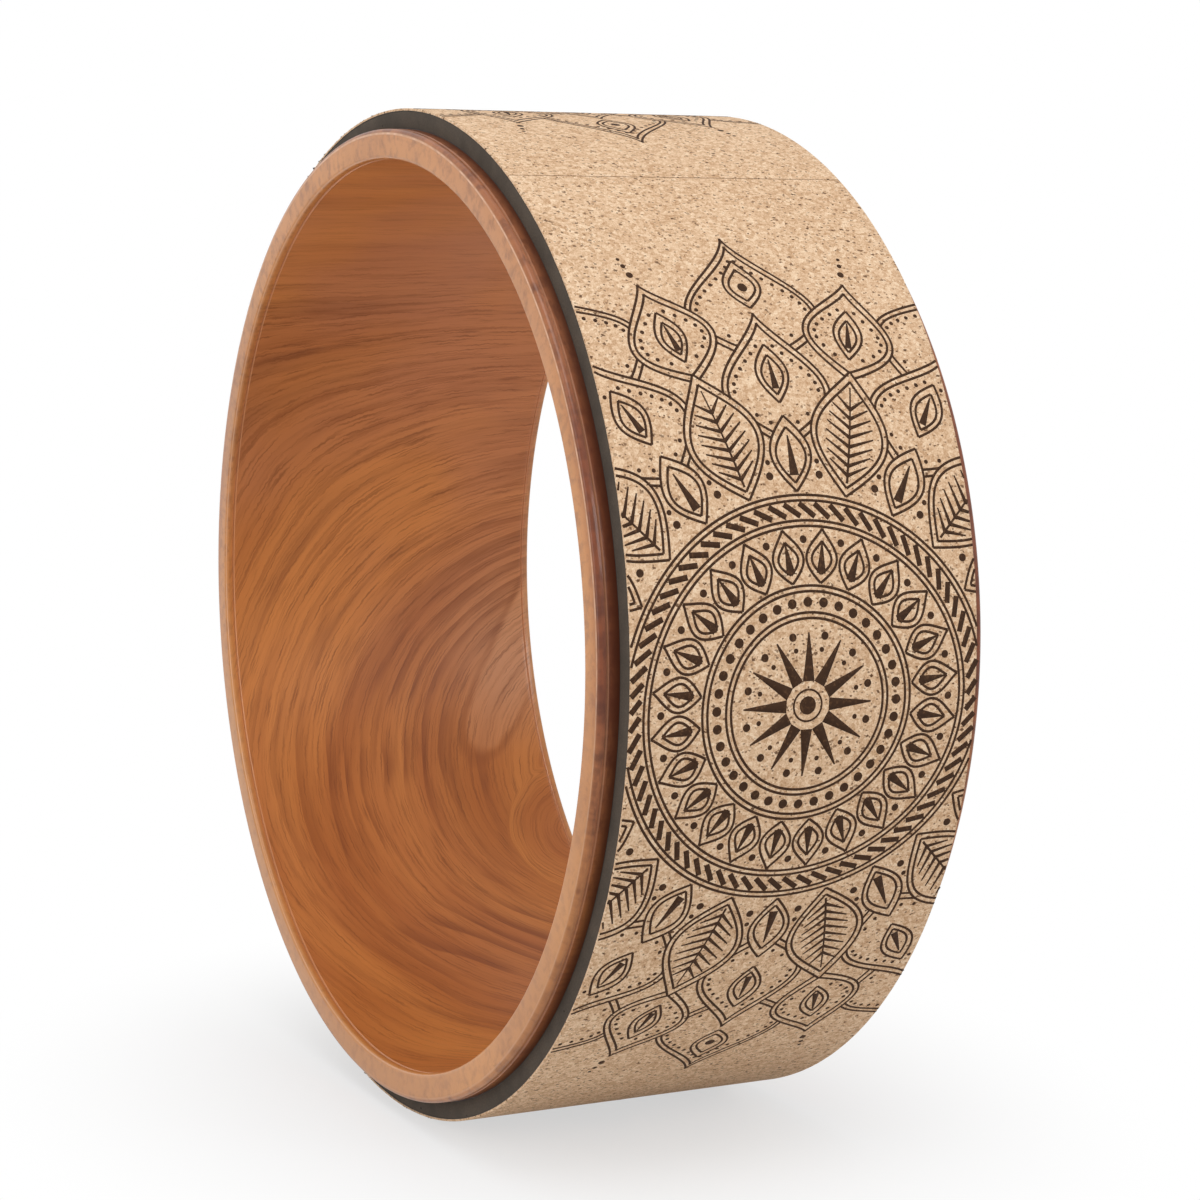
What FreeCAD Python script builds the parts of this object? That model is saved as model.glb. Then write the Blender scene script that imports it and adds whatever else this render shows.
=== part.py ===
import FreeCAD, Part
import os

import Sketcher

# A yoga wheel. A moulded plastic hoop is the structure: one wide ring whose two lips stand out past
# the padding. The padding is a foam strip faced with a thin cork sheet, which is the tread, and it is
# taped round the hoop. The axle line is the Y axis, +Z is up, the origin is the wheel's centre, and the
# wheel stands on its tread. Angles round the wheel are counted from +X towards +Z.

# Driving dimensions: lengths in millimetres, angles in degrees, shares without a unit.
SIZES = (
    ("bore_diameter", 298, "clear bore of the hoop"),
    ("hoop_wall", 9.5, "hoop, bore to the face under the tape"),
    ("hoop_width", 127, "hoop over both lips, which is the wheel's width"),
    ("lip_overhang", 6.5, "how far each lip stands out past the padding"),
    ("lip_bore_round", 1.4, "round between the bore and a lip's flat face"),
    ("lip_shoulder_round", 1.5, "round between a lip's flat face and its outside"),
    ("bore_round_wall_share", 0.5, "the most of the wall that the bore round may take"),
    ("shoulder_round_wall_share", 0.3, "the most of the wall that the shoulder round may take"),
    ("bore_land", 1.7, "straight stretch between the bore round and the middle of the groove inside a lip"),
    ("shoulder_land", 1.2, "straight stretch between the shoulder round and the middle of the groove round a lip"),
    ("groove_depth", 0.4, "depth of the grooves that the mould's parting lines leave in the lips"),
    ("groove_half_width", 0.4, "half the width of such a groove"),
    ("tape_thickness", 0.3, "double-sided tape under the foam"),
    ("foam_thickness", 5.3, "foam strip"),
    ("glue_thickness", 0.2, "adhesive backing of the cork"),
    ("cork_thickness", 0.7, "cork sheet"),
    ("seam_gap", 0.3, "gap where the ends of the padding meet"),
    ("seam_angle", 59, "place of that seam round the wheel"),
)

# The layers of the padding from the inside out. They are bonded flat, cut to one strip and wrapped round
# the hoop, so all of them end at the same seam.
LAYERS = (
    ("pad_tape", "Sizes.tape_thickness"),
    ("foam_pad", "Sizes.foam_thickness"),
    ("cork_glue_film", "Sizes.glue_thickness"),
    ("cork_cover", "Sizes.cork_thickness"),
)

# Places worked out from the driving dimensions, as expressions on the sheet.
BORE_RADIUS = "Sizes.bore_diameter / 2"
HOOP_RADIUS = BORE_RADIUS + " + Sizes.hoop_wall"
BORE_GROOVE_RADIUS = BORE_RADIUS + " + Sizes.groove_depth"
HOOP_GROOVE_RADIUS = HOOP_RADIUS + " - Sizes.groove_depth"
BORE_ROUND = "min(Sizes.lip_bore_round; Sizes.hoop_wall * Sizes.bore_round_wall_share)"
SHOULDER_ROUND = "min(Sizes.lip_shoulder_round; Sizes.hoop_wall * Sizes.shoulder_round_wall_share)"
HALF_WIDTH = "Sizes.hoop_width / 2"
HALF_PAD = HALF_WIDTH + " - Sizes.lip_overhang"
BORE_GROOVE_PLANE = HALF_WIDTH + " - " + BORE_ROUND + " - Sizes.bore_land"
HOOP_GROOVE_PLANE = HALF_WIDTH + " - " + SHOULDER_ROUND + " - Sizes.shoulder_land"

# A sketch's numbers for its own origin and for the ends of a line.
ORIGIN_INDEX = (-1, 1)
POINT_INDEX = {"start": 1, "end": 2}


def minus(expression):
    return "-(" + expression + ")"


def add_sheet(doc):
    """Puts the driving dimensions into the spreadsheet, one aliased row each."""
    sheet = doc.addObject("Spreadsheet::Sheet", "Sizes")
    for row, (alias, value, meaning) in enumerate(SIZES, start=1):
        sheet.set("A%d" % row, alias)
        sheet.set("B%d" % row, str(value))
        sheet.set("C%d" % row, meaning)
        sheet.setAlias("B%d" % row, alias)
    doc.recompute()


def add_body(doc, label):
    body = doc.addObject("PartDesign::Body", label)
    body.Label = label
    return body


def add_sketch(body, name):
    """A sketch on the body's XY plane: its x is the radius, and its y runs along the axle."""
    plane = next(item for item in body.Origin.OriginFeatures if item.Role == "XY_Plane")
    sketch = body.newObject("Sketcher::SketchObject", name)
    sketch.AttachmentSupport = [(plane, "")]
    sketch.MapMode = "FlatFace"
    return sketch


def constrain(sketch, expression, kind, *where):
    """Adds a dimension to the sketch and binds it to an expression on the sheet."""
    value = sketch.evalExpression(expression)
    index = sketch.addConstraint(Sketcher.Constraint(kind, *where, value))
    sketch.setExpression("Constraints[%d]" % index, expression)


def sheet_point(sketch, radius, along):
    return FreeCAD.Vector(sketch.evalExpression(radius), sketch.evalExpression(along), 0)


def add_section(body, name, corners):
    """A closed outline of straight lines through corners given as radius and place along the axle."""
    sketch = add_sketch(body, name)
    points = [sheet_point(sketch, radius, along) for radius, along in corners]
    following = [(index + 1) % len(points) for index in range(len(points))]
    for point, after in zip(points, following):
        sketch.addGeometry(Part.LineSegment(point, points[after]), False)
    for index, after in enumerate(following):
        joined = (index, POINT_INDEX["end"], after, POINT_INDEX["start"])
        sketch.addConstraint(Sketcher.Constraint("Coincident", *joined))
    for index, (radius, along) in enumerate(corners):
        where = (*ORIGIN_INDEX, index, POINT_INDEX["start"])
        constrain(sketch, radius, "DistanceX", *where)
        constrain(sketch, along, "DistanceY", *where)
    return sketch


def revolve(body, name, sketch, angle="360"):
    """Turns a section about the axle, evenly to both sides of +X."""
    turned = body.newObject("PartDesign::Revolution", name)
    turned.Profile = sketch
    turned.ReferenceAxis = (sketch, ["V_Axis"])
    turned.Midplane = True
    turned.setExpression("Angle", angle)
    body.Document.recompute()
    return turned


def round_lips(body, name, base, edge_radius, rounding):
    """Rounds the two circles of the given radius where the lips' flat faces end."""
    half_width = body.evalExpression(HALF_WIDTH)
    radius = body.evalExpression(edge_radius)
    edges = []
    for number, edge in enumerate(base.Shape.Edges, start=1):
        curve = edge.Curve
        if not isinstance(curve, Part.Circle):
            continue
        off_face = abs(abs(curve.Center.y) - half_width)
        off_radius = abs(curve.Radius - radius)
        if max(off_face, off_radius) < Part.Precision.confusion():
            edges.append("Edge%d" % number)
    fillet = body.newObject("PartDesign::Fillet", name)
    fillet.Base = (base, edges)
    fillet.setExpression("Radius", rounding)
    body.Document.recompute()
    return fillet


def groove_pair(radius, bottom_radius, plane):
    """Corners of a V-shaped groove on either side of the wheel's middle, in order along the axle."""
    corners = []
    for middle in (minus(plane), plane):
        corners += [
            (radius, middle + " - Sizes.groove_half_width"),
            (bottom_radius, middle),
            (radius, middle + " + Sizes.groove_half_width"),
        ]
    return corners


def add_hoop(doc):
    """The moulded hoop: a ring with rounded lips and a fine groove inside and outside each lip."""
    body = add_body(doc, "hoop")
    corners = (
        (BORE_RADIUS, minus(HALF_WIDTH)),
        (HOOP_RADIUS, minus(HALF_WIDTH)),
        *groove_pair(HOOP_RADIUS, HOOP_GROOVE_RADIUS, HOOP_GROOVE_PLANE),
        (HOOP_RADIUS, HALF_WIDTH),
        (BORE_RADIUS, HALF_WIDTH),
        *reversed(groove_pair(BORE_RADIUS, BORE_GROOVE_RADIUS, BORE_GROOVE_PLANE)),
    )
    ring = revolve(body, "hoop_ring", add_section(body, "hoop_section", corners))
    bore_rounds = round_lips(body, "bore_rounds", ring, BORE_RADIUS, BORE_ROUND)
    round_lips(body, "shoulder_rounds", bore_rounds, HOOP_RADIUS, SHOULDER_ROUND)
    return body


def add_layer(doc, label, inner_radius, thickness):
    """A strip wrapped once round the wheel, with a narrow gap at the seam where its ends meet."""
    body = add_body(doc, label)
    outer_radius = inner_radius + " + " + thickness
    corners = (
        (inner_radius, minus(HALF_PAD)),
        (outer_radius, minus(HALF_PAD)),
        (outer_radius, HALF_PAD),
        (inner_radius, HALF_PAD),
    )
    section = add_section(body, label + "_section", corners)
    revolve(body, label + "_strip", section, "360 - Sizes.seam_gap / (" + outer_radius + ") * 180 / pi")
    # The strip is turned evenly to both sides of +X, which leaves its gap at 180 degrees.
    from_x_to_z = FreeCAD.Vector(0, -1, 0)
    body.Placement = FreeCAD.Placement(FreeCAD.Vector(), FreeCAD.Rotation(from_x_to_z, 0))
    body.setExpression("Placement.Rotation.Angle", "Sizes.seam_angle - 180")
    return body


def build(doc):
    """Makes every piece, the hoop first and each layer on the one before."""
    add_sheet(doc)
    bodies = [add_hoop(doc)]
    inner_radius = HOOP_RADIUS
    for label, thickness in LAYERS:
        bodies.append(add_layer(doc, label, inner_radius, thickness))
        inner_radius += " + " + thickness
    doc.recompute()
    return bodies


def check(doc, bodies):
    """Stops before anything is written if an object failed or a piece isn't one valid solid."""
    for item in doc.Objects:
        if "Invalid" in item.State or "Error" in item.State:
            raise RuntimeError("%s failed: %s" % (item.Name, item.State))
    for body in bodies:
        shape = body.Shape
        if shape.isNull() or not shape.isValid() or len(shape.Solids) != 1:
            raise RuntimeError("%s is not one valid solid" % body.Label)


def write(bodies):
    """Writes one STEP file for each piece and prints its volume and overall size."""
    os.makedirs("parts", exist_ok=True)
    for body in bodies:
        body.Shape.exportStep(os.path.join("parts", body.Label + ".step"))
        box = body.Shape.optimalBoundingBox()
        sizes = (box.XLength, box.YLength, box.ZLength)
        print("%-15s %7.0f mm3, %.2f x %.2f x %.2f mm" % (body.Label, body.Shape.Volume, *sizes))


document = FreeCAD.newDocument("yoga_wheel")
pieces = build(document)
check(document, pieces)
write(pieces)
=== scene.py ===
import math

import bpy
from mathutils import Matrix, Vector


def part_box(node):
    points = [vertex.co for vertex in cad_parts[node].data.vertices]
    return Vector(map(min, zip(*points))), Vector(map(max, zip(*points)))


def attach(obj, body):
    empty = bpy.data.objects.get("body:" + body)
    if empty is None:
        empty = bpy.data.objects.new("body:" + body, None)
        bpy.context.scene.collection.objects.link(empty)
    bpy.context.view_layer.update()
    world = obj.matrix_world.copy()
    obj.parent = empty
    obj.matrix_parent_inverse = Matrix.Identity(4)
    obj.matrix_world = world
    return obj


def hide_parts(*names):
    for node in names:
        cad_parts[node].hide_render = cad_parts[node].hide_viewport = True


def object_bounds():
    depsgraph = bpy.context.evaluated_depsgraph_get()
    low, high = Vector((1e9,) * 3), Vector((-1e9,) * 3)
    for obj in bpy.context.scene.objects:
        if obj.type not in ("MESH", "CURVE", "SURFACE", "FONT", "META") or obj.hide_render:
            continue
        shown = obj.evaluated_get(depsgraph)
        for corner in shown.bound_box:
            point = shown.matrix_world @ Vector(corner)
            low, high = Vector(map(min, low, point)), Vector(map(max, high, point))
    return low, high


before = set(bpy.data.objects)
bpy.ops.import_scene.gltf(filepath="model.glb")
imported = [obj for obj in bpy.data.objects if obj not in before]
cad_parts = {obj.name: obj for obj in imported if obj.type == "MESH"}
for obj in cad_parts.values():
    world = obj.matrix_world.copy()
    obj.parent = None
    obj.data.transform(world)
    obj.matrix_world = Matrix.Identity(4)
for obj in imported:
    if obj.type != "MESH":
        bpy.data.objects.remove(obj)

# A yoga wheel: a glossy wood-grain hoop, a foam pad taped round it and a printed cork cover as its tread.
# Metres, in the part's own frame: the axle line is Y, +Z is up and the origin is the wheel's centre.
# Angles round the wheel are counted from +X towards +Z.
CAD_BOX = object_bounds()
MM = 0.001


def node_radii(node):
    """The least and the greatest distance from the axle that a CAD node reaches."""
    distances = [math.hypot(vertex.co.x, vertex.co.z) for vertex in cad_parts[node].data.vertices]
    return min(distances), max(distances)


def half_width(node):
    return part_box(node)[1].y


def srgb(red, green, blue):
    """A colour as it is read from a picture, 0 to 255, made linear for the shader."""
    def linear(level):
        share = level / 255
        return share / 12.92 if share <= 0.04045 else ((share + 0.055) / 1.055) ** 2.4
    return (linear(red), linear(green), linear(blue), 1)


# The wheel's main sizes, read from the frame.
BORE_RADIUS = node_radii("hoop")[0]
HOOP_RADIUS = node_radii("pad_tape")[0]
TREAD_RADIUS = node_radii("cork_cover")[1]
HOOP_HALF_WIDTH = half_width("hoop")
PAD_HALF_WIDTH = half_width("cork_cover")

# The rounds of the hoop's lips, and the grooves that the mould's parting lines leave beside them.
LIP_BORE_ROUND = 1.4 * MM
LIP_SHOULDER_ROUND = 1.5 * MM
BORE_LAND = 1.7 * MM
SHOULDER_LAND = 1.2 * MM
GROOVE_DEPTH = 0.4 * MM
GROOVE_HALF_WIDTH = 0.4 * MM
BORE_GROOVE_PLANE = HOOP_HALF_WIDTH - LIP_BORE_ROUND - BORE_LAND
HOOP_GROOVE_PLANE = HOOP_HALF_WIDTH - LIP_SHOULDER_ROUND - SHOULDER_LAND

# How finely the rings are divided, and the angle from which an edge stays sharp.
ROUND_STEPS = 8
STEPS_ROUND_WHEEL = 540
SHARP_ANGLE = math.radians(30)
QUARTER_TURN = math.radians(90)

# The padding's seam, and how uneven its cut ends and edges are.
SEAM_ANGLE = math.radians(59)
CORK_SEAM_GAP = 0.4 * MM
FOAM_SEAM_GAP = 0.1 * MM
CUT_EDGE_ROUND = 0.25 * MM
CUT_EDGE_STEPS = 2
STEPS_ACROSS = 24
EDGE_WANDER = 0.25 * MM
EDGE_WANDER_SCALE = 160
END_WANDER = 0.25 * MM
END_WANDER_SCALE = 110
WANDER_DETAIL = 3

# The line print: a rosette of rings, petals and dots, three times round the tread.
PRINT_ANGLES = {
    "print_front": math.radians(-3.1),
    "print_upper_rear": math.radians(119),
    "print_lower_rear": math.radians(238),
}
PRINT_FOLDS = 12
HALF_SECTOR = math.pi / PRINT_FOLDS
PRINT_MARGIN = 0.1 * MM
CURVE_STEP = 1.2 * MM
STRAIGHT_STEP = 3 * MM
FEWEST_CURVE_STEPS = 4
LINE_WIDTH = 0.78 * MM
FINE_WIDTH = 0.6 * MM
STROKE_WIDTH = 1.2 * MM
STROKE_TIP_WIDTH = 0.45 * MM
LINE_PAIR = 1.6 * MM
INK_PROUD = 0.03 * MM
INK_SUNK = 0.05 * MM
DOT_SIDES = 14
JOIN_REACH = 0.01 * MM

# The rosette's rows, as reaches from its centre. A stroke is its first and last reach and its width, a dot
# its reach and size, and a petal its base, its tip, half its greatest width and its fullness. Three numbers
# for a bud's dot are its reach, its size and how far it is turned, as a share of half a sector.
HUB_SIZE = 5.4 * MM
HUB_RING = 4.6 * MM
SUN_RAY = (7 * MM, 21 * MM, 3.8 * MM)
SUN_DOTS = ((16.4 * MM, 1.5 * MM), (20.4 * MM, 2.4 * MM))
BAND_RINGS = (25 * MM, 32.6 * MM, 51.2 * MM, 58.6 * MM)
BEAD = (29.6 * MM, 2.9 * MM)
BEADS_IN_SECTOR = 3
SMALL_PETAL = (35 * MM, 50.6 * MM, 5 * MM, 1.15)
SMALL_SEED = (37.8 * MM, 46.4 * MM, 3 * MM)
SMALL_DOT = (47.4 * MM, 2.3 * MM)
ROPE = (54 * MM, 57.8 * MM)
ROPE_WIDTH = 1.7 * MM
STRANDS_IN_SECTOR = 6
LEAF = (61.2 * MM, 101 * MM, 12.6 * MM, 1.1)
LEAF_VEINS = 8
BUD = (61.2 * MM, 84 * MM, 6.6 * MM, 1)
BUD_SEED = (66 * MM, 78 * MM, 3 * MM)
BUD_DOTS = ((66.4 * MM, 2.4 * MM, 0.47), (70.4 * MM, 1.6 * MM, 0.44))
INNER_LOBE = (74 * MM, 118 * MM, 17.6 * MM, 1.35)
INNER_EYE = (88 * MM, 107 * MM, 5.2 * MM, 1)
INNER_SEED = (92.5 * MM, 102 * MM, 2.4 * MM)
OUTER_LOBE = (98 * MM, 133 * MM, 14.6 * MM, 1.3)
OUTER_EYE = (105 * MM, 122.5 * MM, 4.6 * MM, 1)
OUTER_SEED = (109 * MM, 118 * MM, 2.2 * MM)
CROWN = (100 * MM, 147.5 * MM, 22 * MM, 1.5)
CROWN_EYE = (119.8 * MM, 138 * MM, 6 * MM, 1.15)
CROWN_DOT = (127.5 * MM, 3.2 * MM)
TIP_DOTS = ((137 * MM, 2.2 * MM), (140.6 * MM, 1.6 * MM), (143.4 * MM, 1.2 * MM))
EDGE_DOT_INSET = 3.4 * MM
EDGE_DOT_SIZE = 1.3 * MM
EDGE_DOT_STEP = 3

# A petal drawn in by a gap: the shares of the gap by which its base, its tip and its sides move.
BASE_INSET_SHARE = 1.6
TIP_INSET_SHARE = 2.2
SIDE_INSET_SHARE = 1.1

# A leaf's midrib and veins, as shares of its length, and of its half width for how far a vein spreads.
MIDRIB_SHARES = (0.1, 0.86)
FIRST_VEIN_SHARE = 0.16
VEIN_ROW_SHARE = 0.52
VEIN_RISE_SHARE = 0.1
VEIN_SPREAD_SHARE = 0.62

# How often a line is halved to find where it goes behind a petal.
CROSSING_HALVINGS = 8

# The grain of the hoop's wood film. Its arcs lie about a place past the bore's far edge, given by its angle
# round the wheel and its place along the axle. Inside the arcs lie a pale tongue, with a painted reflection
# about it, and an eye of smaller arcs. Their middles are given as a distance round the bore from that angle
# and a place along the axle. A drift or waver is its scale and its amount. Any other pair, here and below, is
# where something begins to show or fade and where that is done.
GRAIN_ANGLE = math.radians(215)
GRAIN_ALONG = 88 * MM
GRAIN_DRIFT = (7, 8 * MM)
GRAIN_WAVER = (40, 1.4 * MM)
STRETCH_REACHES = (65 * MM, 120 * MM)
RING_STEP = 9 * MM
RINGS_START = (46 * MM, 62 * MM)
RINGS_END = (165 * MM, 115 * MM)
TONGUE_MIDDLE = (-55 * MM, 58 * MM)
TONGUE_SLANT = math.radians(-33)
TONGUE_HALF_LENGTH = 47 * MM
TONGUE_HALF_WIDTH = 10 * MM
TONGUE_WAVER = (60, 0.8)
REFLECTION_REACHES = (48 * MM, 4 * MM)
EYE_MIDDLE = (22 * MM, 66 * MM)
EYE_REACHES = (30 * MM, 27 * MM)
EYE_WAVER = (40, 6 * MM)
FIBRE_WAVER = (450, 1.1 * MM)

# Noise drawn out along the grain: its scales across the arcs, along the axle and round the wheel, and for
# some its detail and roughness. On the lips, it has one scale round the wheel and one over the lip.
RING_NOISE = (30, 4, 1)
STREAK_NOISE = (150, 6, 1, 3, 0.6)
BAND_NOISE = (40, 5, 1)
SHEEN_NOISE = (18, 10, 1.5)
FIBRE_NOISE = (520, 16, 3, 3, 0.65)
PORE_NOISE = (1700, 55, 9)
DASH_NOISE = (30, 620)
BLOCK_NOISE = (14, 50)
WISP_NOISE = (40, 240)

# Heights at which the film's look changes, with a band of painted shade at mid height, and where the looks
# of the lips lie on them, with painted shade by the foam and painted highlights along their edges and
# grooves.
UPPER_HEIGHTS = (-70 * MM, 50 * MM)
TOP_HEIGHTS = (92 * MM, 122 * MM)
LOW_HEIGHTS = (-20 * MM, -70 * MM)
MID_SHADE_START = (-25 * MM, 0)
MID_SHADE_END = (100 * MM, 60 * MM)
LIP_GLOSS = (HOOP_HALF_WIDTH - 5 * MM, HOOP_HALF_WIDTH - 2.5 * MM)
LIP_FRONT = (HOOP_HALF_WIDTH - 3 * MM, HOOP_HALF_WIDTH - 0.8 * MM)
LIP_OUTER_HALF = (BORE_RADIUS + 3 * MM, HOOP_RADIUS - 1 * MM)
LIP_OUTSIDE = (HOOP_RADIUS - 2.4 * MM, HOOP_RADIUS - 0.2 * MM)
SHADE_BY_FOAM_SPAN = (HOOP_HALF_WIDTH - 1.6 * MM, PAD_HALF_WIDTH)
HIGHLIGHT_EDGE = (0.5 * MM, 0.15 * MM)
BORE_LINE = (0.6 * MM, 0.3 * MM)
SHOULDER_LINE = (0.55 * MM, 0.25 * MM)

# Colours of the wood film on the bore, among them a pinkish painted sheen, a pale painted reflection and a
# darker painted shade for the lower bore.
FILM_BROWN = srgb(178, 103, 49)
FILM_AMBER = srgb(216, 138, 70)
FILM_UPPER = srgb(212, 140, 80)
FILM_LOWER_SHADE = srgb(150, 84, 36)
FILM_SHEEN = srgb(188, 122, 88)
TONGUE_PALE = srgb(216, 150, 100)
TONGUE_DARK = srgb(134, 72, 34)
REFLECTION_PALE = srgb(216, 166, 130)
RING_DARK = srgb(130, 68, 32)
STREAK_DARK = srgb(128, 74, 44)
FIBRE_DARK = srgb(126, 66, 32)
PORE_DARK = srgb(104, 54, 26)

# Colours of the film on the lips, among them a paler front that is painted light, darker browns that are
# painted shade at mid height and beside the foam, and pale painted highlights for the edges and grooves.
FRONT_PAINTED_LIGHT = srgb(208, 150, 90)
FRONT_WISP = srgb(140, 86, 52)
FRONT_DASH = srgb(116, 66, 38)
FRONT_MID_SHADE = srgb(146, 74, 38)
OUTSIDE_BROWN = srgb(150, 88, 54)
OUTSIDE_MID_SHADE = srgb(104, 42, 19)
OUTSIDE_DASH = srgb(78, 38, 22)
OUTSIDE_BLOCK = srgb(78, 34, 18)
SHADE_BY_FOAM_COLOUR = srgb(66, 30, 16)
HIGHLIGHT_PALE = srgb(238, 192, 158)
BORE_GROOVE_HIGHLIGHT = srgb(214, 150, 102)
SHOULDER_GROOVE_HIGHLIGHT = srgb(196, 140, 104)

# The cork: how its flakes are drawn out along the axle, the scales of its flakes, grit and patches, and its
# colours from dark to light, each with its shade. A kind of speck is its scale, its reach in its cell and the
# share of the cells that hold one.
FLAKE_SPREAD = (1, 0.7, 1)
FLAKE_SCALE = 1200
GRIT_SCALE = 1900
MOTTLE_SCALE = 330
PATCH_SCALE = 40
CORK_SHADES = (
    (0.2, srgb(186, 146, 109)),
    (0.45, srgb(213, 178, 143)),
    (0.6, srgb(226, 193, 159)),
    (0.85, srgb(244, 219, 188)),
)
SPECKS = ((480, 0.25, 0.7), (900, 0.29, 0.6))
SPECK_BROWN = srgb(92, 62, 38)

# The ink, the foam and the adhesive.
INK_SCALE = 900
INK_BROWN = srgb(60, 38, 22)
INK_WORN = srgb(116, 82, 54)
FOAM_CELL_SCALE = 1500
CLOUD_SCALE = 90
PINHOLE_SCALE = 190
PINHOLE_SHARE = 0.2
FOAM_DARK = srgb(78, 70, 62)
FOAM_LIGHT = srgb(92, 82, 72)
FOAM_CELL = srgb(62, 57, 52)
PINHOLE_DARK = srgb(20, 18, 16)
SMEAR_SCALE = 300
GLUE_DARK = srgb(30, 26, 23)
GLUE_LIGHT = srgb(58, 50, 43)

# The studio. The floor turns white between two distances from the wheel's middle, where those along the axle
# count for more. A lamp has its place, width, height and power in watts.
WHITE = (1, 1, 1, 1)
FLOOR_GREY = (0.75, 0.75, 0.75, 1)
FLOOR_REACH = 8
FLOOR_GLOW_SHARE = 0.6
FLOOR_FADE = (0.05, 0.24)
FLOOR_AXLE_STRETCH = 1.2
AMBIENT_SHARE = 0.56
LAMPS = {
    "key": ((0.9, -0.4, 2.1), 1.4, 1.4, 21.5),
    "side": ((1.5, 0.78, 0.67), 0.5, 0.5, 4.5),
    "fill": ((0.35, -1.9, 0.35), 0.4, 2, 11),
}

# The camera, fitted to the edges of the wheel in a square picture. The lens's centre is in pixels from the
# picture's upper left corner, and lies off the middle of the frame.
CAMERA_AZIMUTH = math.radians(66.346)
CAMERA_ELEVATION = math.radians(7.907)
CAMERA_DISTANCE = 930.17 * MM
CAMERA_ASIDE = -43.11 * MM
CAMERA_RAISED = -14.62 * MM
FOCAL_PIXELS = 2750.6
LENS_CENTRE = (423.6, 652.7)
IMAGE_PIXELS = 1200
SENSOR_WIDTH = 36


def pick(sockets, key):
    """A socket by its place, or by its name among those that the node's settings leave in use."""
    if isinstance(key, int):
        return sockets[key]
    return next(socket for socket in sockets if socket.name == key and not socket.is_unavailable)


class Wire:
    """An output socket of a node tree. Sums and the like on it add Math nodes to the tree."""

    def __init__(self, tree, socket=None):
        self.tree = tree
        self.socket = socket

    def node(self, kind, settings=None, sockets=None, out=0):
        """Adds a node: its settings first, then its sockets' values or links. Gives one of its outputs."""
        node = self.tree.nodes.new(kind)
        for name, value in (settings or {}).items():
            if name == "stops":
                set_stops(node.color_ramp, value)
            else:
                setattr(node, name, value)
        for key, value in (sockets or {}).items():
            socket = pick(node.inputs, key)
            for item in value if isinstance(value, list) else [value]:
                if isinstance(item, Wire):
                    self.tree.links.new(item.socket, socket)
                else:
                    socket.default_value = item
        return Wire(self.tree, pick(node.outputs, out) if node.outputs else None)

    def out(self, key):
        """Another output of the same node."""
        return Wire(self.tree, pick(self.socket.node.outputs, key))

    def math(self, operation, *values):
        return self.node("ShaderNodeMath", {"operation": operation}, dict(enumerate(values)))

    def __add__(self, other):
        return self.math("ADD", self, other)

    def __radd__(self, other):
        return self.math("ADD", other, self)

    def __sub__(self, other):
        return self.math("SUBTRACT", self, other)

    def __rsub__(self, other):
        return self.math("SUBTRACT", other, self)

    def __mul__(self, other):
        return self.math("MULTIPLY", self, other)

    def __rmul__(self, other):
        return self.math("MULTIPLY", other, self)

    def __truediv__(self, other):
        return self.math("DIVIDE", self, other)

    def __rtruediv__(self, other):
        return self.math("DIVIDE", other, self)

    def __neg__(self):
        return self.math("MULTIPLY", self, -1)

    def __abs__(self):
        return self.math("ABSOLUTE", self)

    def __gt__(self, other):
        return self.math("GREATER_THAN", self, other)

    def __lt__(self, other):
        return self.math("LESS_THAN", self, other)

    def length_with(self, other):
        return self.math("SQRT", self * self + other * other)

    def split(self):
        """The three parts of a vector."""
        parts = self.node("ShaderNodeSeparateXYZ", sockets={"Vector": self})
        return parts, parts.out("Y"), parts.out("Z")

    def join(self, x, y, z):
        return self.node("ShaderNodeCombineXYZ", sockets={"X": x, "Y": y, "Z": z})

    def scaled(self, x, y, z):
        settings = {"operation": "MULTIPLY"}
        return self.node("ShaderNodeVectorMath", settings, {0: self, 1: (x, y, z)})

    def ease(self, low, high):
        """0 below low, 1 above high and a smooth step between. It falls where low is above high."""
        settings = {"interpolation_type": "SMOOTHSTEP"}
        return self.node("ShaderNodeMapRange", settings, {"Value": self, "From Min": low, "From Max": high})

    def noise(self, scale, detail=2.0, roughness=0.5):
        sockets = {"Vector": self, "Scale": scale, "Detail": detail, "Roughness": roughness}
        return self.node("ShaderNodeTexNoise", sockets=sockets)

    def waver(self, scale, amount, detail=2):
        """Noise to either side of 0, within half the amount."""
        return (self.noise(scale, detail) - 0.5) * amount

    def cells(self, scale):
        """Distance to the middle of the nearest of many scattered cells."""
        return self.node("ShaderNodeTexVoronoi", sockets={"Vector": self, "Scale": scale})

    def colour(self, first, second):
        """Mixes two colours with this value as the share of the second."""
        settings = {"data_type": "RGBA", "clamp_factor": True}
        return self.node("ShaderNodeMix", settings, {"Factor": self, "A": first, "B": second}, "Result")

    def blend(self, first, second):
        """A vector between two others, with this value as the share of the second."""
        sockets = {"Factor": self, "A": first, "B": second}
        return self.node("ShaderNodeMix", {"data_type": "VECTOR"}, sockets, "Result")

    def bump(self, strength, distance):
        sockets = {"Height": self, "Strength": strength, "Distance": distance}
        return self.node("ShaderNodeBump", sockets=sockets)

    def stored(self, name, kind="FLOAT"):
        """A value that the geometry's points carry."""
        return self.node("GeometryNodeInputNamedAttribute", {"data_type": kind}, {"Name": name})


def set_stops(ramp, stops):
    """Gives a colour ramp its stops, as place and colour."""
    while len(ramp.elements) < len(stops):
        ramp.elements.new(1)
    for element, (place, colour) in zip(ramp.elements, stops):
        element.position = place
        element.color = colour


# Materials


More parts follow.
